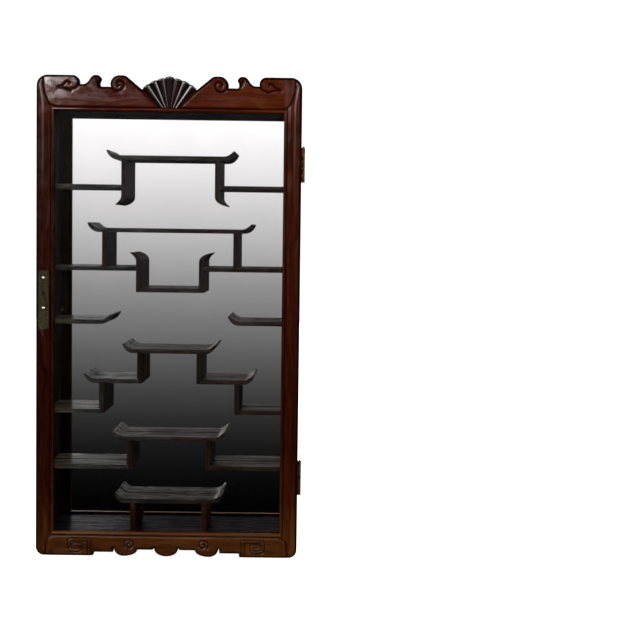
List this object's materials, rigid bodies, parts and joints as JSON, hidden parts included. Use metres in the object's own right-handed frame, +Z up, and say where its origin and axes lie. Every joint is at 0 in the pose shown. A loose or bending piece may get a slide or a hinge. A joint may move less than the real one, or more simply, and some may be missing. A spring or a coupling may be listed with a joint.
{
  "type": "thimble display case",
  "caption": "Wall-hung glazed wooden display case with a carved crest and apron, a mirror back and a stepped gallery of small shelves for thimbles.",
  "frame": {"origin": "midway between the two hanging holes, on the plane of the wall", "axes": "+X to the right as seen from the front, +Y back into the wall, +Z up"},
  "size_m": [0.4215, 0.1012, 0.7605],
  "materials": {
    "door_wood": "red-brown stained hardwood, polished",
    "case_wood": "dark stained hardwood, satin",
    "shelf_wood": "dark grey-brown stained hardwood, polished",
    "panel_wood": "thin board, matt",
    "mirror": "silvered glass",
    "glass": "clear sheet glass",
    "old_brass": "aged and darkened, lightly hammered",
    "brass": "worn brass",
    "steel": "dull steel"
  },
  "bodies": {
    "carcass": {"side_left": "case_wood", "side_right": "case_wood", "top_board": "case_wood", "floor_board": "case_wood", "back_panel": "panel_wood", "mirror_plate": "mirror", "panel_pins": "steel", "hanging_plates": "brass", "hanging_screws": "brass", "arch_shelf": "shelf_wood", "arch_post_left": "shelf_wood", "arch_post_right": "shelf_wood", "arch_side_shelf_left": "shelf_wood", "arch_side_shelf_right": "shelf_wood", "bridge_shelf": "shelf_wood", "bridge_post_left": "shelf_wood", "bridge_post_right": "shelf_wood", "bridge_side_shelf_left": "shelf_wood", "bridge_side_shelf_right": "shelf_wood", "cup_floor": "shelf_wood", "cup_post_left": "shelf_wood", "cup_post_right": "shelf_wood", "end_shelf_left": "shelf_wood", "end_shelf_right": "shelf_wood", "stair_shelf": "shelf_wood", "stair_post_left": "shelf_wood", "stair_post_right": "shelf_wood", "step_shelf_left": "shelf_wood", "step_shelf_right": "shelf_wood", "step_post_left": "shelf_wood", "step_post_right": "shelf_wood", "stair_side_shelf_left": "shelf_wood", "stair_side_shelf_right": "shelf_wood", "low_shelf": "shelf_wood", "low_post_left": "shelf_wood", "low_post_right": "shelf_wood", "low_side_shelf_left": "shelf_wood", "low_side_shelf_right": "shelf_wood", "table_shelf": "shelf_wood", "table_leg_left": "shelf_wood", "table_leg_right": "shelf_wood", "lock_keeper": "brass", "hinge_leaves_carcass": "brass", "hinge_pins": "brass", "carcass_edge_screws": "brass"},
    "door": {"stile_left": "door_wood", "stile_right": "door_wood", "crest_rail": "door_wood", "apron_rail": "door_wood", "shell_carving": "door_wood", "glass_pane": "glass", "glazing_beads": "door_wood", "lock_plate": "old_brass", "lock_plate_screws": "steel", "lock_case": "brass", "hinge_leaves_door": "brass", "door_back_screws": "brass"},
    "bolt": {"lock_bolt": "steel"}
  },
  "joints": [
    {"name": "door_hinge", "type": "hinge", "parent": "carcass", "child": "door", "pos_m": [0.2109, -0.0834, 0], "axis": [0, 0, 1], "range_deg": [0, 180]},
    {"name": "bolt_slide", "type": "slide", "parent": "door", "child": "bolt", "axis": [0, 0, 1], "range_m": [0, 0.007]}
  ]
}
